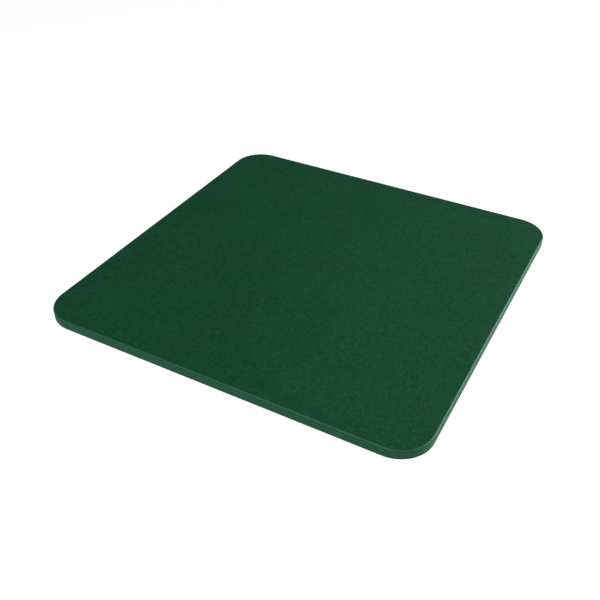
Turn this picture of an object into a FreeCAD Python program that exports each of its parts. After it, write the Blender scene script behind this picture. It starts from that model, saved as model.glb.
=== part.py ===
import FreeCAD, Part

import math
import os

import Sketcher

# A square golf hitting mat, built up as a bonded laminate and cut flush all round.
# Millimetres, +Z up. The origin is the centre of the underside, on the floor.
# From the floor up: grip base, adhesive film, foam core, adhesive film, strike sheet.

DIMENSIONS = {
    "side_length": 457.0,  # each side of the square outline, 18 in
    "corner_radius": 38.0,  # the four corners in plan, 1 1/2 in
    "sheet_thickness": 3.0,  # strike sheet
    "film_thickness": 0.2,  # each adhesive film
    "core_thickness": 7.0,  # foam core
    "base_thickness": 1.6,  # grip base
    "top_easing": 1.8,  # radius of the eased upper edge
    "bottom_easing": 1.0,  # radius of the eased lower edge
    "cell_count": 14,  # grip cells along each side
    "cell_pitch": 30.5,  # from one grip cell to the next
    "cell_width": 26.5,  # each side of a grip cell
    "cell_corner": 4.0,  # corner radius of a grip cell
    "cell_depth": 0.7,  # how far a grip cell is moulded into the base
}

SHEET = "Dimensions"
TOLERANCE = 1e-4
OUTPUT_FOLDER = "parts"

# The corners of a square, anticlockwise from +X -Y.
CORNERS = ((1, -1), (1, 1), (-1, 1), (-1, -1))

# Sketcher's numbers for the points of an edge, and for the edge that holds the origin.
START = 1
END = 2
CENTRE = 3
ORIGIN_EDGE = -1

doc = FreeCAD.newDocument("HittingMat")


def add_dimensions():
    """Put every driving dimension in the spreadsheet, with its name beside it."""
    sheet = doc.addObject("Spreadsheet::Sheet", SHEET)
    for row, (alias, value) in enumerate(DIMENSIONS.items(), start=1):
        sheet.set(f"A{row}", alias.replace("_", " "))
        sheet.set(f"B{row}", str(value))
        sheet.setAlias(f"B{row}", alias)
    doc.recompute()


def cell(alias):
    """The expression that reads one dimension of the spreadsheet."""
    return f"{SHEET}.{alias}"


def add_body(name, height):
    """A body that stands at the given height, which is an expression."""
    body = doc.addObject("PartDesign::Body", name)
    body.Label = name
    body.setExpression("Placement.Base.z", height)
    return body


def origin_plane(body, role):
    """One of the body's own origin planes."""
    return next(plane for plane in body.Origin.OriginFeatures if plane.Role == role)


def rounded_square(body, name, side, radius, corner_inset):
    """A sketch of a square with round corners, on the body's own floor plane.

    side, radius and corner_inset are expressions. corner_inset is how far the centre
    of the first corner arc lies from the origin, along -X and along -Y.
    """
    sketch = body.newObject("Sketcher::SketchObject", name)
    sketch.AttachmentSupport = [(origin_plane(body, "XY_Plane"), "")]
    sketch.MapMode = "FlatFace"

    # A first outline of about the right shape: side, arc, side, arc, anticlockwise.
    reach = 20.0
    bend = 5.0
    middle = reach - bend
    quarter = math.pi / 2
    upward = FreeCAD.Vector(0, 0, 1)
    centres = [FreeCAD.Vector(x * middle, y * middle, 0) for x, y in CORNERS]
    for index, centre in enumerate(centres):
        facing = (index - 1) * quarter
        outward = FreeCAD.Vector(math.cos(facing), math.sin(facing), 0) * bend
        sketch.addGeometry(Part.LineSegment(centres[index - 1] + outward, centre + outward), False)
        circle = Part.Circle(centre, upward, bend)
        sketch.addGeometry(Part.ArcOfCircle(circle, facing, facing + quarter), False)

    sides = range(0, 8, 2)
    arcs = range(1, 8, 2)
    for edge in range(8):
        sketch.addConstraint(Sketcher.Constraint("Tangent", edge, END, (edge + 1) % 8, START))
    for edge in sides:
        sketch.addConstraint(Sketcher.Constraint("Horizontal" if edge % 4 == 0 else "Vertical", edge))
    for edge in arcs[1:]:
        sketch.addConstraint(Sketcher.Constraint("Equal", arcs[0], edge))

    def drive(label, constraint, expression):
        index = sketch.addConstraint(constraint)
        sketch.renameConstraint(index, label)
        sketch.setExpression(f"Constraints.{label}", expression)

    first_corner = arcs[-1]
    drive("width", Sketcher.Constraint("DistanceX", sides[3], START, sides[1], START, 2 * reach), side)
    drive("depth", Sketcher.Constraint("DistanceY", sides[0], START, sides[2], START, 2 * reach), side)
    drive("corner", Sketcher.Constraint("Radius", arcs[0], bend), radius)
    for label, kind in (("inset_x", "DistanceX"), ("inset_y", "DistanceY")):
        constraint = Sketcher.Constraint(kind, first_corner, CENTRE, ORIGIN_EDGE, START, middle)
        drive(label, constraint, corner_inset)
    return sketch


def add_layer(name, thickness, height):
    """A body that is one layer of the laminate, with the mat's own outline."""
    body = add_body(name, height)
    side = cell("side_length")
    radius = cell("corner_radius")
    outline = rounded_square(body, f"{name}_outline", side, radius, f"{side} / 2 - {radius}")
    layer = body.newObject("PartDesign::Pad", f"{name}_layer")
    layer.Profile = outline
    layer.setExpression("Length", thickness)
    doc.recompute()
    return body, layer


def ease_outer_edge(body, layer, level, radius):
    """Round over the outer edge of a layer at one level, measured from the layer's own floor."""
    names = []
    for index, edge in enumerate(layer.Shape.Edges, start=1):
        if all(abs(corner.Z - level) < TOLERANCE for corner in edge.Vertexes):
            names.append(f"Edge{index}")
    easing = body.newObject("PartDesign::Fillet", f"{body.Name}_easing")
    easing.Base = (layer, names)
    easing.setExpression("Radius", radius)
    doc.recompute()
    return easing


def mould_grip_cells(body):
    """Sink the square grid of grip cells into the underside, leaving ribs and a plain rim."""
    volume_before = body.Shape.Volume
    pitch = cell("cell_pitch")
    reach = f"({cell('cell_count')} - 1) * {pitch}"
    width = cell("cell_width")
    corner = cell("cell_corner")
    first_cell = f"{reach} / 2 + {width} / 2 - {corner}"
    outline = rounded_square(body, "grip_cell_outline", width, corner, first_cell)
    pocket = body.newObject("PartDesign::Pocket", "grip_cell")
    pocket.Profile = outline
    pocket.Reversed = True
    pocket.setExpression("Length", cell("cell_depth"))
    doc.recompute()
    one_cell = volume_before - body.Shape.Volume

    grid = body.newObject("PartDesign::LinearPattern", "grip_cell_grid")
    grid.Originals = [pocket]
    grid.Direction = (outline, ["H_Axis"])
    grid.Direction2 = (outline, ["V_Axis"])
    grid.setExpression("Length", reach)
    grid.setExpression("Length2", reach)
    grid.setExpression("Occurrences", cell("cell_count"))
    grid.setExpression("Occurrences2", cell("cell_count"))
    body.Tip = grid
    doc.recompute()

    cells_cut = (volume_before - body.Shape.Volume) / one_cell
    cells_wanted = DIMENSIONS["cell_count"] ** 2
    if one_cell <= 0 or abs(cells_cut - cells_wanted) > TOLERANCE * cells_wanted:
        raise RuntimeError(f"the grip pattern cut {cells_cut:.2f} cells and not {cells_wanted}")


def build_grip_base():
    """Rubber sheet that grips the floor: eased lower edge, moulded cells on its underside."""
    body, layer = add_layer("grip_base", cell("base_thickness"), "0 mm")
    ease_outer_edge(body, layer, 0.0, cell("bottom_easing"))
    mould_grip_cells(body)
    return body


def build_lower_adhesive():
    """Adhesive film between the grip base and the foam core."""
    return add_layer("lower_adhesive", cell("film_thickness"), cell("base_thickness"))[0]


def build_foam_core():
    """Closed-cell foam that takes the shock of the club head."""
    height = f"{cell('base_thickness')} + {cell('film_thickness')}"
    return add_layer("foam_core", cell("core_thickness"), height)[0]


def build_upper_adhesive():
    """Adhesive film between the foam core and the strike sheet."""
    height = f"{cell('base_thickness')} + {cell('film_thickness')} + {cell('core_thickness')}"
    return add_layer("upper_adhesive", cell("film_thickness"), height)[0]


def build_strike_sheet():
    """Tough sheet that the club head and the ball meet, with its upper edge eased."""
    height = f"{cell('base_thickness')} + 2 * {cell('film_thickness')} + {cell('core_thickness')}"
    body, layer = add_layer("strike_sheet", cell("sheet_thickness"), height)
    ease_outer_edge(body, layer, DIMENSIONS["sheet_thickness"], cell("top_easing"))
    return body


def check_document(bodies):
    """Stop before anything is written if a feature failed or a layer isn't one sound solid."""
    doc.recompute()
    for item in doc.Objects:
        if "Invalid" in item.State or "Error" in item.State:
            raise RuntimeError(f"{item.Name} failed: {item.State}")
    for body in bodies:
        shape = body.Shape
        if shape.isNull() or not shape.isValid() or len(shape.Solids) != 1:
            raise RuntimeError(f"{body.Label} isn't one sound solid")


def main():
    add_dimensions()
    bodies = [
        build_grip_base(),
        build_lower_adhesive(),
        build_foam_core(),
        build_upper_adhesive(),
        build_strike_sheet(),
    ]
    check_document(bodies)
    os.makedirs(OUTPUT_FOLDER, exist_ok=True)
    for body in bodies:
        body.Shape.exportStep(os.path.join(OUTPUT_FOLDER, f"{body.Label}.step"))
        box = body.Shape.optimalBoundingBox()
        print(f"{body.Label}: {box.XLength:.2f} x {box.YLength:.2f}, z {box.ZMin:.2f} to {box.ZMax:.2f}")


main()
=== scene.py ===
import math
from collections import namedtuple

import bmesh
import bpy
from bpy.props import FloatProperty, FloatVectorProperty, IntProperty, PointerProperty
from mathutils import Matrix, Vector, noise


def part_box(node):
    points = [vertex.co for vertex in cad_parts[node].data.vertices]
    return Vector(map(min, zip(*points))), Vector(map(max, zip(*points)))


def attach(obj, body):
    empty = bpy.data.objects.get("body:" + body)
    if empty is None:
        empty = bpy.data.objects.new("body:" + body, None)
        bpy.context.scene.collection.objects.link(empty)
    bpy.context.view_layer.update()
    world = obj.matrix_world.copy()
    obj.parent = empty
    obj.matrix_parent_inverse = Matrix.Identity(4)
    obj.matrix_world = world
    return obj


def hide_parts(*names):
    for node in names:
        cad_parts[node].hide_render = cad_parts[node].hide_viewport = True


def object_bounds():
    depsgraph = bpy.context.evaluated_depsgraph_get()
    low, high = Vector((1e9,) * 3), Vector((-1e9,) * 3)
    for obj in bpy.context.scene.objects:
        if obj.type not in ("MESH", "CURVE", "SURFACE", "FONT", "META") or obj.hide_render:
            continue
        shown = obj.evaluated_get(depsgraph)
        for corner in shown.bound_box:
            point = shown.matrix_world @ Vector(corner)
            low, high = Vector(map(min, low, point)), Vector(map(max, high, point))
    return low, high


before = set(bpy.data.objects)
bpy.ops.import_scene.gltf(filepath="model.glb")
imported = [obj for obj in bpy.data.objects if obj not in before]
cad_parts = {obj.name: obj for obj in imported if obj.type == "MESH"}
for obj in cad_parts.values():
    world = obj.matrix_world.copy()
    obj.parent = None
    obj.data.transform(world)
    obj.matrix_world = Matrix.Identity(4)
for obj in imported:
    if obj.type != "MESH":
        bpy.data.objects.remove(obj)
CAD_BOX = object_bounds()

bl_info = {
    "name": "Golf hitting mat",
    "version": (1, 0, 0),
    "blender": (4, 5, 0),
    "location": "View3D > Sidebar > Hitting mat",
    "description": "Makes a square bonded golf hitting mat, layer by layer, and a studio to see it in",
    "category": "Add Mesh",
}

BODY = "root"
MM = 0.001

# Most of a noise texture's values lie between these two, and between these when two are mixed.
NOISE_SPREAD = (0.3, 0.7)
MIXED_NOISE_SPREAD = (0.35, 0.65)

# Powers of the way out from a face's middle to its edge. Corners round off with the first, and
# unevenness levels out with the second.
ROUNDING_POWER = 6
RELIEF_POWER = 8

# The long and the short waves of the cut wall, and of the strike face.
WALL_WAVES = (60 * MM, 7 * MM)
FACE_WAVES = (150 * MM, 45 * MM)

# A flat margin between a sheet's lattice and its rounded edge.
MARGIN = 0.5 * MM

# Points closer than this are made one.
WELD_DISTANCE = 1e-7

# Edges that turn more sharply than this are shaded as creases.
CREASE = math.radians(35)

# Where each lamp stands, and its size, in metres. Both face the mat's centre.
Lamp = namedtuple("Lamp", "place width height")
KEY_LAMP = Lamp((1.33, 0.93, 0.51), width=1.0, height=0.7)
FILL_LAMP = Lamp((-0.4, -2.2, 2.0), width=1.2, height=1.2)

# How far the studio's floor runs to each side, in metres.
FLOOR_REACH = 12.0

# The camera's sensor, in millimetres.
SENSOR_WIDTH = 36.0

# One ring of a layer's wall: how far inside the mat's outline it runs, its height, how much
# of the upper face's grain it still carries and how much handling has rubbed it, which also paints a
# highlight on it.
Ring = namedtuple("Ring", "inset height grain wear", defaults=(0.0, 0.0))


# ---------------------------------------------------------------- sizes, colours and studio


class HittingMatSizes(bpy.types.PropertyGroup):
    """Sizes of the mat that the layers' solids leave open."""

    corner_radius: FloatProperty(
        name="Corner radius",
        description="Radius of the mat's four corners in plan",
        default=38.0 * MM,
        unit="LENGTH",
        subtype="DISTANCE",
    )
    top_easing: FloatProperty(
        name="Top easing",
        description="Radius of the strike sheet's rounded upper edge",
        default=1.8 * MM,
        unit="LENGTH",
        subtype="DISTANCE",
    )
    bottom_easing: FloatProperty(
        name="Bottom easing",
        description="Radius of the grip base's rounded lower edge",
        default=1.0 * MM,
        unit="LENGTH",
        subtype="DISTANCE",
    )
    unevenness: FloatProperty(
        name="Unevenness",
        description="How far the strike face strays from a true plane",
        default=0.12 * MM,
        unit="LENGTH",
        subtype="DISTANCE",
    )
    edge_wander: FloatProperty(
        name="Edge wander",
        description="How far the cut wall strays from a true outline",
        default=0.14 * MM,
        unit="LENGTH",
        subtype="DISTANCE",
    )
    core_hollow: FloatProperty(
        name="Core hollow",
        description="How far the foam's cut wall draws in between the two sheets",
        default=0.10 * MM,
        unit="LENGTH",
        subtype="DISTANCE",
    )
    film_recess: FloatProperty(
        name="Film recess",
        description="How far the adhesive films stop inside the wall",
        default=0.08 * MM,
        unit="LENGTH",
        subtype="DISTANCE",
    )
    side_steps: IntProperty(
        name="Side steps",
        description="Mesh divisions along the straight part of a layer's side",
        default=84,
        min=8,
    )
    corner_steps: IntProperty(
        name="Corner steps",
        description="Mesh divisions along half of a layer's rounded corner",
        default=16,
        min=2,
    )
    cell_count: IntProperty(
        name="Grip cells",
        description="Grip cells along each side of the underside",
        default=14,
        min=1,
    )
    cell_pitch: FloatProperty(
        name="Cell pitch",
        description="Distance from one grip cell to the next",
        default=30.5 * MM,
        unit="LENGTH",
        subtype="DISTANCE",
    )
    cell_width: FloatProperty(
        name="Cell width",
        description="Width of a grip cell at its mouth",
        default=26.5 * MM,
        unit="LENGTH",
        subtype="DISTANCE",
    )
    cell_corner: FloatProperty(
        name="Cell corner",
        description="Corner radius of a grip cell",
        default=4.0 * MM,
        unit="LENGTH",
        subtype="DISTANCE",
    )
    cell_depth: FloatProperty(
        name="Cell depth",
        description="How far a grip cell is moulded into the base",
        default=0.7 * MM,
        unit="LENGTH",
        subtype="DISTANCE",
    )


class HittingMatColours(bpy.types.PropertyGroup):
    """Colours of the mat's layers."""

    leaf_green: FloatVectorProperty(
        name="Leaf green",
        description="The warmer of the two greens in the strike sheet's mottled face",
        default=(0.0092, 0.0662, 0.0203),
        size=3,
        min=0.0,
        max=1.0,
        subtype="COLOR",
    )
    sea_green: FloatVectorProperty(
        name="Sea green",
        description="The cooler of the two greens in the strike sheet's mottled face",
        default=(0.0012, 0.0678, 0.0340),
        size=3,
        min=0.0,
        max=1.0,
        subtype="COLOR",
    )
    # Painted highlight: the eased edge is painted this paler green to stand in for the light it catches,
    # as well as for handling wear.
    worn_and_highlight_green: FloatVectorProperty(
        name="Worn green",
        description="Colour of the eased edge, where handling has polished and paled it",
        default=(0.0240, 0.1460, 0.0750),
        size=3,
        min=0.0,
        max=1.0,
        subtype="COLOR",
    )
    cut_green: FloatVectorProperty(
        name="Cut green",
        description="Colour of the strike sheet where it is cut",
        default=(0.0127, 0.0980, 0.0470),
        size=3,
        min=0.0,
        max=1.0,
        subtype="COLOR",
    )
    foam_green: FloatVectorProperty(
        name="Foam green",
        description="Colour of the foam core's cut wall",
        default=(0.0127, 0.1000, 0.0476),
        size=3,
        min=0.0,
        max=1.0,
        subtype="COLOR",
    )
    film_green: FloatVectorProperty(
        name="Film green",
        description="Colour of the adhesive films' rim",
        default=(0.0100, 0.0700, 0.0360),
        size=3,
        min=0.0,
        max=1.0,
        subtype="COLOR",
    )
    # Painted shade: the grip base is much darker than the foam above it, so the thin strip along the
    # foot of the wall looks shaded. It is also the base's own dark rubber.
    grip_and_foot_shade_green: FloatVectorProperty(
        name="Grip green",
        description="Colour of the grip base",
        default=(0.0060, 0.0430, 0.0210),
        size=3,
        min=0.0,
        max=1.0,
        subtype="COLOR",
    )
    dust: FloatVectorProperty(
        name="Dust",
        description="Colour of the few specks of dust on the strike face",
        default=(0.200, 0.290, 0.220),
        size=3,
        min=0.0,
        max=1.0,
        subtype="COLOR",
    )


class HittingMatStudio(bpy.types.PropertyGroup):
    """Where the camera and the lights stand."""

    azimuth: FloatProperty(
        name="Camera azimuth",
        description="How far the camera stands round the mat, from -Y towards +X",
        default=math.radians(28.45),
        subtype="ANGLE",
    )
    elevation: FloatProperty(
        name="Camera elevation",
        description="How steeply the camera looks down",
        default=math.radians(37.28),
        subtype="ANGLE",
    )
    roll: FloatProperty(
        name="Camera roll",
        description="How far the camera is tilted about its own line of sight",
        default=math.radians(0.25),
        subtype="ANGLE",
    )
    distance: FloatProperty(
        name="Camera distance",
        description="From the camera to the point that it looks at, in sides of the mat",
        default=1.9775,
        min=0.1,
    )
    aim: FloatVectorProperty(
        name="Camera aim",
        description="The point on the floor that the camera looks at, in sides of the mat",
        default=(0.0238, -0.1222),
        size=2,
    )
    lens: FloatProperty(
        name="Lens",
        description="Focal length in millimetres on a sensor 36 mm wide",
        default=46.43,
        min=1.0,
    )
    key_power: FloatProperty(
        name="Key light",
        description="Power of the low soft light on the right, a little behind the mat, in watts",
        default=37.0,
        min=0.0,
    )
    fill_power: FloatProperty(
        name="Fill light",
        description="Power of the wide soft light in front of the mat, in watts",
        default=47.0,
        min=0.0,
    )
    room: FloatProperty(
        name="Room light",
        description="Even light from the room round the mat",
        default=0.12,
        min=0.0,
    )
    backdrop: FloatProperty(
        name="Backdrop",
        description="How bright the room looks behind the floor",
        default=0.92,
        min=0.0,
    )
    floor_glow: FloatProperty(
        name="Floor glow",
        description="How brightly the pale floor looks lit from behind, as a light table is",
        default=0.90,
        min=0.0,
    )
    floor_cast: FloatProperty(
        name="Floor cast",
        description="How much of its glow the pale floor throws onto the mat",
        default=0.43,
        min=0.0,
    )


# ---------------------------------------------------------------- outlines and meshes


def corner_rounded(x, y, half, radius):
    """Move a point of a square's edge onto the same square with round corners."""
    straight = half - radius
    along = min(abs(x), abs(y))
    if radius <= 0 or along <= straight:
        return x, y
    turn = (along - straight) / radius * math.pi / 4
    near = straight + radius * math.sin(turn)
    far = straight + radius * math.cos(turn)
    if abs(x) < abs(y):
        near, far = far, near
    return math.copysign(far, x), math.copysign(near, y)


def rounded_place(u, v, half, radius):
    """The place of lattice point (u, v), each from -1 to 1, on a face with round corners.

    The rounding fades fast towards the middle, so the lattice is nearly regular there.
    """
    reach = max(abs(u), abs(v))
    return corner_rounded(u * half, v * half, half * reach, radius * reach**ROUNDING_POWER)


def lattice_edge(count):
    """The (column, row) numbers round the edge of a square lattice, anticlockwise."""
    out = range(count)
    back = range(count, 0, -1)
    near_and_right = [(i, 0) for i in out] + [(count, j) for j in out]
    return near_and_right + [(i, count) for i in back] + [(0, j) for j in back]


def outline_stations(half, sizes):
    """Places from -1 to 1 along the mat's side, closest together round its corners."""
    straight = 1 - sizes.corner_radius / half
    bend = (1 - straight) / sizes.corner_steps
    corner = [1 - bend * step for step in reversed(range(sizes.corner_steps + 1))]
    middle = [straight * (2 * step / sizes.side_steps - 1) for step in range(1, sizes.side_steps)]
    return [-place for place in reversed(corner)] + middle + corner


def layer_limits(node):
    """(half side, lowest height, highest height) of one of the mat's solids."""
    low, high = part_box(node)
    return (high.x - low.x) / 2, low.z, high.z


def wander(x, y, waves, seeds):
    """A smooth stray between -1 and 1, mostly of long waves with some short ones."""
    long_wave, short_wave = (
        noise.noise(Vector((x / size, y / size, seed))) for size, seed in zip(waves, seeds)
    )
    long_share = 0.75
    return long_share * long_wave + (1 - long_share) * short_wave


class LayerMesh:
    """Builds one closed layer of the mat, ring by ring, and keeps its grain and its mask of rubbing and
    painted edge highlight.
    """

    def __init__(self, name, half, radius, edge_wander, seed):
        self.name = name
        self.half = half
        self.radius = radius
        self.edge_wander = edge_wander
        self.seed = seed
        self.bm = bmesh.new()
        self.grain = self.bm.verts.layers.float.new("grain")
        self.wear = self.bm.verts.layers.float.new("wear")

    def point(self, x, y, z, grain=0.0, wear=0.0):
        vert = self.bm.verts.new((x, y, z))
        vert[self.grain] = grain
        vert[self.wear] = wear
        return vert

    def strayed(self, x, y):
        """A point of the outline, moved in or out a little as a cut edge is."""
        stray = self.edge_wander * (wander(x, y, WALL_WAVES, (self.seed, self.seed + 5)) - 0.5)
        length = math.hypot(x, y)
        return x * (1 + stray / length), y * (1 + stray / length)

    def face(self, stations, ring, relief):
        """A lattice over the whole face inside a ring. Returns its edge vertices."""
        half = self.half - ring.inset
        radius = self.radius - ring.inset
        count = len(stations) - 1
        lattice = {}
        for i, u in enumerate(stations):
            for j, v in enumerate(stations):
                x, y = rounded_place(u, v, half, radius)
                reach = max(abs(u), abs(v))
                if reach == 1:
                    x, y = self.strayed(x, y)
                height = ring.height + relief(x, y) * (1 - reach**RELIEF_POWER)
                lattice[i, j] = self.point(x, y, height, ring.grain, ring.wear)
        self.cover(lattice, count)
        return [lattice[place] for place in lattice_edge(count)]

    def cover(self, lattice, count):
        """Fill a square lattice of vertices with faces."""
        for i in range(count):
            for j in range(count):
                corners = ((i, j), (i + 1, j), (i + 1, j + 1), (i, j + 1))
                self.bm.faces.new([lattice[corner] for corner in corners])

    def outline(self, stations, ring):
        """The vertices of one ring of the wall, anticlockwise from the -X -Y corner."""
        half = self.half - ring.inset
        radius = self.radius - ring.inset
        made = []
        for i, j in lattice_edge(len(stations) - 1):
            x, y = corner_rounded(stations[i] * half, stations[j] * half, half, radius)
            x, y = self.strayed(x, y)
            made.append(self.point(x, y, ring.height, ring.grain, ring.wear))
        return made

    def wall(self, first, stations, rings):
        """Bands of faces from one ring of vertices through the given rings."""
        above = first
        for ring in rings:
            below = self.outline(stations, ring)
            self.bridge(above, below)
            above = below
        return above

    def bridge(self, first, second):
        """Join two rings of as many vertices with one band of faces."""
        for here, vert in enumerate(first):
            after = (here + 1) % len(first)
            self.bm.faces.new((vert, first[after], second[after], second[here]))

    def stitch(self, first, second):
        """Join two rings of different numbers of vertices, both from the -X -Y corner."""
        first_corner = -0.75 * math.pi
        rings = (first, second)
        turns = []
        for ring in rings:
            angles = [math.atan2(vert.co.y, vert.co.x) for vert in ring[1:]]
            turns.append([(angle - first_corner) % math.tau for angle in angles] + [math.tau])
        here = [0, 0]
        while here[0] < len(first) or here[1] < len(second):
            nexts = [turns[k][here[k]] if here[k] < len(rings[k]) else math.inf for k in (0, 1)]
            k = 0 if nexts[0] <= nexts[1] else 1
            now, other = rings[k], rings[1 - k]
            after = (here[k] + 1) % len(now)
            self.bm.faces.new((now[here[k]], now[after], other[here[1 - k] % len(other)]))
            here[k] += 1

    def finished(self):
        """The layer as an object, smooth except where it turns sharply."""
        bmesh.ops.remove_doubles(self.bm, verts=self.bm.verts, dist=WELD_DISTANCE)
        bmesh.ops.recalc_face_normals(self.bm, faces=self.bm.faces)
        for face in self.bm.faces:
            face.smooth = True
        for edge in self.bm.edges:
            edge.smooth = edge.calc_face_angle(0.0) < CREASE
        mesh = bpy.data.meshes.new(self.name)
        self.bm.to_mesh(mesh)
        self.bm.free()
        made = bpy.data.objects.new(self.name, mesh)
        bpy.context.scene.collection.objects.link(made)
        return made


def rounded_edge(radius, height, outward, steps, grain, wear):
    """Rings of a quarter-round edge, from the flat face to the wall.

    height is the flat face's, and outward is -1 where the wall runs down from it and 1
    where the wall runs up. grain and wear each take the share of the turn done.
    """
    rings = []
    for step in range(steps + 1):
        share = step / steps
        turn = share * math.pi / 2
        inset = radius * (1 - math.sin(turn))
        rise = outward * radius * (1 - math.cos(turn))
        rings.append(Ring(inset, height + rise, grain(share), wear(share)))
    return rings


def flat_relief(x, y):
    """No unevenness."""
    return 0.0


def settle(piece, node, material):
    """Give a piece its material, stand it for its solid and let it ride on the mat."""
    piece.data.materials.append(material)
    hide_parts(node)
    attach(piece, BODY)


# ---------------------------------------------------------------- node helpers


def feed(tree, socket, value):
    """Link a socket to another one, or give it a value."""
    if isinstance(value, bpy.types.NodeSocket):
        tree.links.new(value, socket)
    else:
        socket.default_value = value


def add_node(tree, kind, inputs=None, **settings):
    """Add a node, give it its settings, and fill or link its inputs."""
    made = tree.nodes.new(kind)
    for name, value in settings.items():
        setattr(made, name, value)
    for name, value in (inputs or {}).items():
        feed(tree, made.inputs[name], value)
    return made


def math_node(tree, operation, first, second=0.0):
    """The result of one sum on two numbers or sockets."""
    return add_node(tree, "ShaderNodeMath", {0: first, 1: second}, operation=operation).outputs[0]


def map_range(tree, value, low, high, to_low, to_high):
    """A value carried from one range to another and kept inside it."""
    inputs = {"Value": value, "From Min": low, "From Max": high, "To Min": to_low, "To Max": to_high}
    return add_node(tree, "ShaderNodeMapRange", inputs).outputs[0]


def mix_colours(tree, factor, first, second):
    """Two colours mixed by a factor."""
    inputs = {0: factor, 6: first, 7: second}
    return add_node(tree, "ShaderNodeMix", inputs, data_type="RGBA").outputs[2]


def noise_value(tree, where, size, detail=2.0, roughness=0.5):
    """Soft noise whose lumps are about the given size in metres."""
    inputs = {
        "Vector": where,
        "Scale": 1 / size,
        "Detail": detail,
        "Roughness": roughness,
    }
    return add_node(tree, "ShaderNodeTexNoise", inputs).outputs[0]


def cell_value(tree, where, size, output="Distance", dimensions="3D"):
    """Distance in, or colour of, cells of about the given size in metres."""
    inputs = {"Vector": where, "Scale": 1 / size}
    made = add_node(tree, "ShaderNodeTexVoronoi", inputs, voronoi_dimensions=dimensions)
    return made.outputs[output]


def attribute_value(tree, name):
    """A number painted on the mesh's vertices."""
    return add_node(tree, "ShaderNodeAttribute", attribute_name=name).outputs["Fac"]


def bump(tree, height, distance, strength, normal=None):
    """Raise the surface by a height of 0 to 1 times a distance in metres."""
    inputs = {"Height": height, "Distance": distance, "Strength": strength}
    if normal is not None:
        inputs["Normal"] = normal
    return add_node(tree, "ShaderNodeBump", inputs).outputs[0]


def opaque(colour):
    """A colour property as a shader takes it."""
    return (*colour, 1.0)


def new_material(name, viewport_colour):
    """An empty node material with its shader. Returns (material, tree, shader)."""
    material = bpy.data.materials.new(name)
    material.use_nodes = True
    material.diffuse_color = opaque(viewport_colour)
    tree = material.node_tree
    tree.nodes.clear()
    shader = add_node(tree, "ShaderNodeBsdfPrincipled")
    add_node(tree, "ShaderNodeOutputMaterial", {"Surface": shader.outputs[0]})
    return material, tree, shader


def set_shader(tree, shader, **inputs):
    """Fill or link the shader's inputs, named with underscores for spaces."""
    for name, value in inputs.items():
        feed(tree, shader.inputs[name.replace("_", " ")], value)


def tinted(tree, colour, *tints):
    """A colour made darker and lighter by (noise or cell value, largest share of it) pairs."""
    for value, share in tints:
        grey = map_range(tree, value, *NOISE_SPREAD, 1 - share, 1 + share)
        scaled = add_node(tree, "ShaderNodeVectorMath", {0: colour, 3: grey}, operation="SCALE")
        colour = scaled.outputs[0]
    return colour


# ---------------------------------------------------------------- materials


def strike_rubber(colours):
    """Through-coloured rubber: a mottled, pebbled face, a smooth cut wall and paler edges, partly rubbed
    by handling and partly a painted highlight.
    """
    material, tree, shader = new_material("strike_rubber", colours.sea_green)
    where = add_node(tree, "ShaderNodeTexCoord").outputs["Object"]
    grain = attribute_value(tree, "grain")
    wear = attribute_value(tree, "wear")

    pebbles = math_node(tree, "SUBTRACT", 1.0, cell_value(tree, where, 1.1 * MM))
    fine = noise_value(tree, where, 1.8 * MM, detail=3.0, roughness=0.6)
    coarse = noise_value(tree, where, 5.0 * MM, detail=2.0)
    clouds = noise_value(tree, where, 70 * MM, detail=3.0, roughness=0.6)
    near_mottle = noise_value(tree, where, 4.5 * MM, detail=4.0)
    broad_mottle = noise_value(tree, where, 110 * MM, detail=3.0, roughness=0.6)
    broad_share = 0.30
    mottles = {0: broad_share, 2: near_mottle, 3: broad_mottle}
    mottle = add_node(tree, "ShaderNodeMix", mottles).outputs[0]
    mottle = map_range(tree, mottle, *MIXED_NOISE_SPREAD, 0.0, 1.0)

    face = mix_colours(tree, mottle, opaque(colours.leaf_green), opaque(colours.sea_green))
    # The pebble share paints shade: the face is darker in the crevices where the pebbles meet and
    # lighter on their tops.
    face = tinted(tree, face, (fine, 0.28), (pebbles, 0.14), (coarse, 0.10), (clouds, 0.06))
    cut = tinted(tree, colours.cut_green, (fine, 0.12))
    colour = mix_colours(tree, grain, cut, face)

    # Painted highlight: where the wear mask is high, the edge is mixed towards the paler edge green.
    # This stands in for the light it catches, as well as for rubbing.
    scuff_and_highlight_patches = map_range(tree, noise_value(tree, where, 14 * MM, detail=4.0), *NOISE_SPREAD, 0.6, 1.0)
    worn_and_highlit = math_node(tree, "MULTIPLY", wear, scuff_and_highlight_patches)
    colour = mix_colours(tree, worn_and_highlit, colour, opaque(colours.worn_and_highlight_green))

    # One cell in twenty holds a speck of dust, seldom a bright one. The speck's edge is soft.
    dust_cells = 16 * MM
    speck_edge = (0.024, 0.050)
    from_speck = cell_value(tree, where, dust_cells, dimensions="2D")
    dust_cell = cell_value(tree, where, dust_cells, output="Color", dimensions="2D")
    chances = add_node(tree, "ShaderNodeSeparateColor", {0: dust_cell}).outputs
    chosen = math_node(tree, "GREATER_THAN", chances[0], 0.95)
    brightness = math_node(tree, "POWER", chances[1], 2.0)
    speck = map_range(tree, from_speck, *speck_edge, 1.0, 0.0)
    dusty = grain
    for share in (chosen, brightness, speck):
        dusty = math_node(tree, "MULTIPLY", dusty, share)
    colour = mix_colours(tree, dusty, colour, opaque(colours.dust))

    rough_face = map_range(tree, fine, *NOISE_SPREAD, 0.56, 0.70)
    polish = math_node(tree, "MULTIPLY", wear, 0.24)
    rough = math_node(tree, "SUBTRACT", rough_face, polish)

    pebble_height = math_node(tree, "MULTIPLY", pebbles, grain)
    normal = bump(tree, pebble_height, 0.10 * MM, strength=0.9)
    normal = bump(tree, fine, 0.03 * MM, strength=0.6, normal=normal)
    set_shader(
        tree,
        shader,
        Base_Color=colour,
        Roughness=rough,
        Normal=normal,
        Specular_IOR_Level=0.18,
    )
    return material


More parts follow.
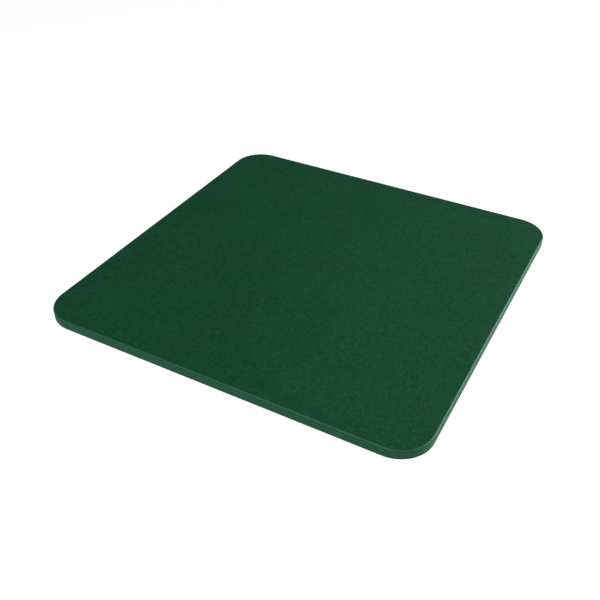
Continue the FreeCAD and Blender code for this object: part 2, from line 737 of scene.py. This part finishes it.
def cushion_foam(colours):
    """Closed-cell foam, cut clean: fine closed pores and the faint lines of the blade."""
    material, tree, shader = new_material("cushion_foam", colours.foam_green)
    where = add_node(tree, "ShaderNodeTexCoord").outputs["Object"]
    pores = cell_value(tree, where, 0.55 * MM)
    fine = noise_value(tree, where, 0.9 * MM, detail=3.0)
    clouds = noise_value(tree, where, 25 * MM, detail=2.0)

    along_wall = {"Vector": where, "Scale": (0.02, 0.02, 1.0)}
    stretched = add_node(tree, "ShaderNodeMapping", along_wall).outputs[0]
    blade_lines = noise_value(tree, stretched, 0.5 * MM, detail=1.0)

    tints = ((fine, 0.14), (pores, 0.10), (clouds, 0.10), (blade_lines, 0.10))
    colour = tinted(tree, colours.foam_green, *tints)
    normal = bump(tree, pores, 0.04 * MM, strength=0.6)
    normal = bump(tree, blade_lines, 0.03 * MM, strength=0.5, normal=normal)
    rough = map_range(tree, fine, *NOISE_SPREAD, 0.34, 0.50)
    set_shader(
        tree,
        shader,
        Base_Color=colour,
        Roughness=rough,
        Normal=normal,
        Specular_IOR_Level=0.185,
    )
    return material


def adhesive_film(colours):
    """The thin rim of the bonding film, a little glossy."""
    material, tree, shader = new_material("adhesive_film", colours.film_green)
    where = add_node(tree, "ShaderNodeTexCoord").outputs["Object"]
    fine = noise_value(tree, where, 1.5 * MM, detail=2.0)
    set_shader(
        tree,
        shader,
        Base_Color=tinted(tree, colours.film_green, (fine, 0.2)),
        Roughness=map_range(tree, fine, *NOISE_SPREAD, 0.34, 0.46),
        Normal=bump(tree, fine, 0.02 * MM, strength=0.5),
        Specular_IOR_Level=0.25,
    )
    return material


def grip_rubber(colours, rib_level, cell_level):
    """Moulded rubber: stippled cell floors, and ribs that the floor has polished."""
    material, tree, shader = new_material("grip_rubber", colours.grip_and_foot_shade_green)
    where = add_node(tree, "ShaderNodeTexCoord").outputs["Object"]
    height = add_node(tree, "ShaderNodeSeparateXYZ", {0: where}).outputs["Z"]
    sunk = map_range(tree, height, rib_level, cell_level, 0.0, 1.0)
    stipple = cell_value(tree, where, 1.3 * MM)
    fine = noise_value(tree, where, 0.8 * MM, detail=3.0)
    clouds = noise_value(tree, where, 60 * MM, detail=3.0)

    # Besides being the rubber's own colour, the dark base colour paints the shade along the foot of the
    # mat's wall.
    colour = tinted(tree, colours.grip_and_foot_shade_green, (fine, 0.16), (clouds, 0.16))
    rubbed = math_node(tree, "MULTIPLY", math_node(tree, "SUBTRACT", 1.0, sunk), 0.35)
    colour = mix_colours(tree, rubbed, colour, opaque(colours.cut_green))
    stipple_height = math_node(tree, "MULTIPLY", stipple, sunk)
    normal = bump(tree, stipple_height, 0.09 * MM, strength=0.8)
    normal = bump(tree, fine, 0.03 * MM, strength=0.6, normal=normal)
    rough_rib = map_range(tree, fine, *NOISE_SPREAD, 0.42, 0.56)
    rough = math_node(tree, "ADD", rough_rib, math_node(tree, "MULTIPLY", sunk, 0.18))
    set_shader(
        tree,
        shader,
        Base_Color=colour,
        Roughness=rough,
        Normal=normal,
        Specular_IOR_Level=0.25,
    )
    return material


def pale_floor(glow, cast):
    """A plain matte white sheet, lit evenly from behind, that throws less light than it shows."""
    pale = (0.20, 0.20, 0.20)
    white = (1.0, 1.0, 1.0)
    material, tree, shader = new_material("pale_floor", white)
    seen = add_node(tree, "ShaderNodeLightPath").outputs["Is Camera Ray"]
    set_shader(
        tree,
        shader,
        Base_Color=opaque(pale),
        Roughness=0.9,
        Specular_IOR_Level=0.1,
        Emission_Color=opaque(white),
        Emission_Strength=map_range(tree, seen, 0.0, 1.0, cast, glow),
    )
    return material


# ---------------------------------------------------------------- pieces


def none(share):
    """None of it, whatever the share of the turn."""
    return 0.0


def fading(share):
    """Less as the edge turns away from the face."""
    return 1.0 - share


def swelling(share):
    """Most a little past the middle of the turn, where hands and boots rub and the painted edge
    highlight is brightest.
    """
    return math.sin(share**1.3 * math.pi)


class MAT_OT_strike_sheet(bpy.types.Operator):
    """Make the strike sheet, with its grained face and eased upper edge"""

    bl_idname = "hitting_mat.strike_sheet"
    bl_label = "Strike sheet"

    def execute(self, context):
        sizes = context.scene.hitting_mat_sizes
        half, bottom, top = layer_limits("strike_sheet")
        stations = outline_stations(half, sizes)
        layer = LayerMesh("strike_sheet_skin", half, sizes.corner_radius, sizes.edge_wander, seed=1.0)
        level = top - sizes.unevenness / 2

        def relief(x, y):
            return sizes.unevenness / 2 * wander(x, y, FACE_WAVES, (11.0, 17.0))

        # The eased edge and, faintly, the sheet's foot carry the wear mask. The mask paints them paler
        # as a highlight and also polishes them.
        edge = rounded_edge(sizes.top_easing, level, outward=-1, steps=7, grain=fading, wear=swelling)
        shoulder = Ring(sizes.top_easing + MARGIN, level, grain=1.0)
        foot = Ring(0.0, bottom, wear=0.1)
        rim = layer.face(stations, shoulder, relief)
        last = layer.wall(rim, stations, [*edge, foot])
        inner = Ring(0.0, bottom)
        layer.bridge(last, layer.face(stations, inner, flat_relief))
        piece = layer.finished()
        settle(piece, "strike_sheet", strike_rubber(context.scene.hitting_mat_colours))
        return {"FINISHED"}


class MAT_OT_foam_core(bpy.types.Operator):
    """Make the foam core, whose cut wall draws in a little between the two sheets"""

    bl_idname = "hitting_mat.foam_core"
    bl_label = "Foam core"

    def execute(self, context):
        sizes = context.scene.hitting_mat_sizes
        half, bottom, top = layer_limits("foam_core")
        stations = outline_stations(half, sizes)
        layer = LayerMesh("foam_core_slab", half, sizes.corner_radius, sizes.edge_wander, seed=2.0)
        steps = 8
        rings = []
        for step in range(steps + 1):
            share = step / steps
            inset = sizes.core_hollow * math.sin(share * math.pi)
            rings.append(Ring(inset, top + (bottom - top) * share))
        rim = layer.face(stations, rings[0], flat_relief)
        last = layer.wall(rim, stations, rings[1:])
        layer.bridge(last, layer.face(stations, rings[-1], flat_relief))
        piece = layer.finished()
        settle(piece, "foam_core", cushion_foam(context.scene.hitting_mat_colours))
        return {"FINISHED"}


class MAT_OT_adhesive_films(bpy.types.Operator):
    """Make the two adhesive films, which stop just inside the wall"""

    bl_idname = "hitting_mat.adhesive_films"
    bl_label = "Adhesive films"

    def execute(self, context):
        sizes = context.scene.hitting_mat_sizes
        material = adhesive_film(context.scene.hitting_mat_colours)
        for seed, node in ((3.0, "lower_adhesive"), (4.0, "upper_adhesive")):
            half, bottom, top = layer_limits(node)
            stations = outline_stations(half, sizes)
            layer = LayerMesh(f"{node}_film", half, sizes.corner_radius, sizes.edge_wander, seed)
            above = Ring(sizes.film_recess, top)
            below = Ring(sizes.film_recess, bottom)
            rim = layer.face(stations, above, flat_relief)
            layer.bridge(rim, layer.face(stations, below, flat_relief))
            settle(layer.finished(), node, material)
        return {"FINISHED"}


class MAT_OT_grip_base(bpy.types.Operator):
    """Make the grip base, with the moulded grid of grip cells on its underside"""

    bl_idname = "hitting_mat.grip_base"
    bl_label = "Grip base"

    # Mesh divisions round half a grip cell's corner, and along the straight part of its side.
    CORNER_STEPS = 3
    SIDE_STEPS = 2

    def cell_stations(self, sizes):
        """Places from -1 to 1 along a cell's side, closest together round its corners."""
        straight = 1 - sizes.cell_corner / (sizes.cell_width / 2)
        bend = (1 - straight) / self.CORNER_STEPS
        corner = [1 - bend * step for step in range(self.CORNER_STEPS + 1)]
        middle = [straight * (1 - 2 * step / self.SIDE_STEPS) for step in range(1, self.SIDE_STEPS)]
        right = corner + middle
        left = [-place for place in corner]
        return sorted({round(place, 9) for place in right + left})

    def cell_rings(self, sizes, floor):
        """(inset from the cell's mouth, height) up a cell's wall, with rounded rib and root."""
        rounding = 0.3 * MM
        full_turn = math.radians(70)
        steps = 3
        rings = []
        for step in range(steps + 1):
            turn = step / steps * full_turn
            inset = rounding * (math.sin(turn) - 1)
            rings.append((inset, floor + rounding * (1 - math.cos(turn))))
        # The root's curve: how far in, and how far short of the cell's full depth.
        root = floor + sizes.cell_depth
        for inset, short in ((0.25 * MM, 0.18 * MM), (0.35 * MM, 0.05 * MM), (0.55 * MM, 0.0)):
            rings.append((inset, root - short))
        return rings

    def execute(self, context):
        sizes = context.scene.hitting_mat_sizes
        half, bottom, top = layer_limits("grip_base")
        layer = LayerMesh("grip_base_sheet", half, sizes.corner_radius, sizes.edge_wander, seed=6.0)
        tile = self.cell_stations(sizes)
        steps = len(tile) - 1
        count = sizes.cell_count
        grid_half = count * sizes.cell_pitch / 2
        stations = [(2 * k + 1 + t) / count - 1 for k in range(count) for t in tile[:-1]] + [1.0]
        lattice = {}

        def rib_point(column, row):
            if (column, row) not in lattice:
                place = (stations[column] * grid_half, stations[row] * grid_half)
                lattice[column, row] = layer.point(*place, bottom)
            return lattice[column, row]

        rings = self.cell_rings(sizes, bottom)
        for across in range(count):
            for along in range(count):
                centre_x = (across - (count - 1) / 2) * sizes.cell_pitch
                centre_y = (along - (count - 1) / 2) * sizes.cell_pitch
                edge = lattice_edge(steps)
                outer = [rib_point(across * steps + i, along * steps + j) for i, j in edge]
                for inset, height in rings:
                    cell_half = sizes.cell_width / 2 - inset
                    radius = sizes.cell_corner - inset
                    inner = []
                    for i, j in edge:
                        place = (tile[i] * cell_half, tile[j] * cell_half)
                        x, y = corner_rounded(*place, cell_half, radius)
                        inner.append(layer.point(centre_x + x, centre_y + y, height))
                    layer.bridge(outer, inner)
                    outer = inner
                self.close_cell(layer, outer, tile, (centre_x, centre_y), cell_half, radius, height)

        total = count * steps
        rim = [rib_point(i, j) for i, j in lattice_edge(total)]
        easing = rounded_edge(sizes.bottom_easing, bottom, outward=1, steps=5, grain=none, wear=swelling)
        shoulder = Ring(sizes.bottom_easing + MARGIN, bottom)
        head = Ring(0.0, top)
        stations = outline_stations(half, sizes)
        edge = layer.outline(stations, shoulder)
        layer.stitch(rim, edge)
        last = layer.wall(edge, stations, [*easing, head])
        layer.bridge(last, layer.face(stations, head, flat_relief))
        piece = layer.finished()
        colours = context.scene.hitting_mat_colours
        material = grip_rubber(colours, bottom, bottom + sizes.cell_depth)
        settle(piece, "grip_base", material)
        return {"FINISHED"}

    def close_cell(self, layer, ring, tile, centre, half, radius, height):
        """Fill a cell's floor with a lattice that starts from its last ring."""
        steps = len(tile) - 1
        edge = dict(zip(lattice_edge(steps), ring))
        lattice = {}
        for i, u in enumerate(tile):
            for j, v in enumerate(tile):
                if (i, j) in edge:
                    lattice[i, j] = edge[i, j]
                    continue
                x, y = rounded_place(u, v, half, radius)
                lattice[i, j] = layer.point(centre[0] + x, centre[1] + y, height)
        layer.cover(lattice, steps)


# ---------------------------------------------------------------- studio


def make_floor(glow, cast):
    """A wide pale floor that the mat lies on."""
    bm = bmesh.new()
    bmesh.ops.create_grid(bm, x_segments=1, y_segments=1, size=FLOOR_REACH)
    mesh = bpy.data.meshes.new("studio_floor")
    bm.to_mesh(mesh)
    bm.free()
    floor = bpy.data.objects.new("studio_floor", mesh)
    floor.data.materials.append(pale_floor(glow, cast))
    bpy.context.scene.collection.objects.link(floor)


def make_soft_light(name, lamp, power):
    """A rectangular soft light that faces the mat's centre."""
    data = bpy.data.lights.new(name, "AREA")
    data.shape = "RECTANGLE"
    data.size = lamp.width
    data.size_y = lamp.height
    data.energy = power
    light = bpy.data.objects.new(name, data)
    light.location = lamp.place
    light.rotation_euler = (-Vector(lamp.place)).to_track_quat("-Z", "Y").to_euler()
    light.visible_camera = False
    bpy.context.scene.collection.objects.link(light)


def make_room(light, backdrop):
    """A dim even room that lights the mat from all round, and looks pale behind the floor."""
    world = bpy.data.worlds.new("pale_room")
    world.use_nodes = True
    tree = world.node_tree
    tree.nodes.clear()
    white = (1.0, 1.0, 1.0, 1.0)
    room = add_node(tree, "ShaderNodeBackground", {"Color": white, "Strength": light})
    wall = add_node(tree, "ShaderNodeBackground", {"Color": white, "Strength": backdrop})
    seen = add_node(tree, "ShaderNodeLightPath").outputs["Is Camera Ray"]
    inputs = {0: seen, 1: room.outputs[0], 2: wall.outputs[0]}
    chosen = add_node(tree, "ShaderNodeMixShader", inputs)
    add_node(tree, "ShaderNodeOutputWorld", {"Surface": chosen.outputs[0]})
    bpy.context.scene.world = world


def make_camera(studio, side):
    """The camera, from its angles, its distance and the point that it looks at."""
    turn, rise, roll = studio.azimuth, studio.elevation, studio.roll
    back = Vector((math.sin(turn) * math.cos(rise), -math.cos(turn) * math.cos(rise), math.sin(rise)))
    level = Vector((math.cos(turn), math.sin(turn), 0.0))
    upward = back.cross(level)
    right = level * math.cos(roll) + upward * math.sin(roll)
    above = upward * math.cos(roll) - level * math.sin(roll)
    aim = Vector((studio.aim[0] * side, studio.aim[1] * side, 0.0))
    data = bpy.data.cameras.new("studio_camera")
    data.sensor_width = SENSOR_WIDTH
    data.lens = studio.lens
    camera = bpy.data.objects.new("studio_camera", data)
    axes = Matrix((right, above, back)).transposed().to_4x4()
    camera.matrix_world = Matrix.Translation(aim + back * studio.distance * side) @ axes
    bpy.context.scene.collection.objects.link(camera)
    bpy.context.scene.camera = camera


class MAT_OT_studio(bpy.types.Operator):
    """Make the floor, the soft lights, the pale surroundings and the camera"""

    bl_idname = "hitting_mat.studio"
    bl_label = "Studio"

    def execute(self, context):
        studio = context.scene.hitting_mat_studio
        low, high = CAD_BOX
        make_floor(studio.floor_glow, studio.floor_cast)
        make_room(studio.room, studio.backdrop)
        make_soft_light("key_light", KEY_LAMP, studio.key_power)
        make_soft_light("fill_light", FILL_LAMP, studio.fill_power)
        make_camera(studio, high.x - low.x)
        context.scene.view_settings.view_transform = "Standard"
        return {"FINISHED"}


# ---------------------------------------------------------------- add-on


PIECES = (MAT_OT_grip_base, MAT_OT_foam_core, MAT_OT_adhesive_films, MAT_OT_strike_sheet)


class MAT_PT_layers(bpy.types.Panel):
    """Lists the mat's layers and the studio"""

    bl_idname = "MAT_PT_layers"
    bl_label = "Hitting mat"
    bl_space_type = "VIEW_3D"
    bl_region_type = "UI"
    bl_category = "Hitting mat"

    def draw(self, context):
        for operator in (*PIECES, MAT_OT_studio):
            self.layout.operator(operator.bl_idname)


GROUPS = {
    "hitting_mat_sizes": HittingMatSizes,
    "hitting_mat_colours": HittingMatColours,
    "hitting_mat_studio": HittingMatStudio,
}


def register():
    for group in GROUPS.values():
        bpy.utils.register_class(group)
    for name, group in GROUPS.items():
        setattr(bpy.types.Scene, name, PointerProperty(type=group))
    for item in (*PIECES, MAT_OT_studio, MAT_PT_layers):
        bpy.utils.register_class(item)


def unregister():
    for item in (MAT_PT_layers, MAT_OT_studio, *reversed(PIECES)):
        bpy.utils.unregister_class(item)
    for name, group in GROUPS.items():
        delattr(bpy.types.Scene, name)
        bpy.utils.unregister_class(group)


def main():
    register()
    bpy.ops.hitting_mat.grip_base()
    bpy.ops.hitting_mat.foam_core()
    bpy.ops.hitting_mat.adhesive_films()
    bpy.ops.hitting_mat.strike_sheet()
    bpy.ops.hitting_mat.studio()


if __name__ == "__main__":
    main()
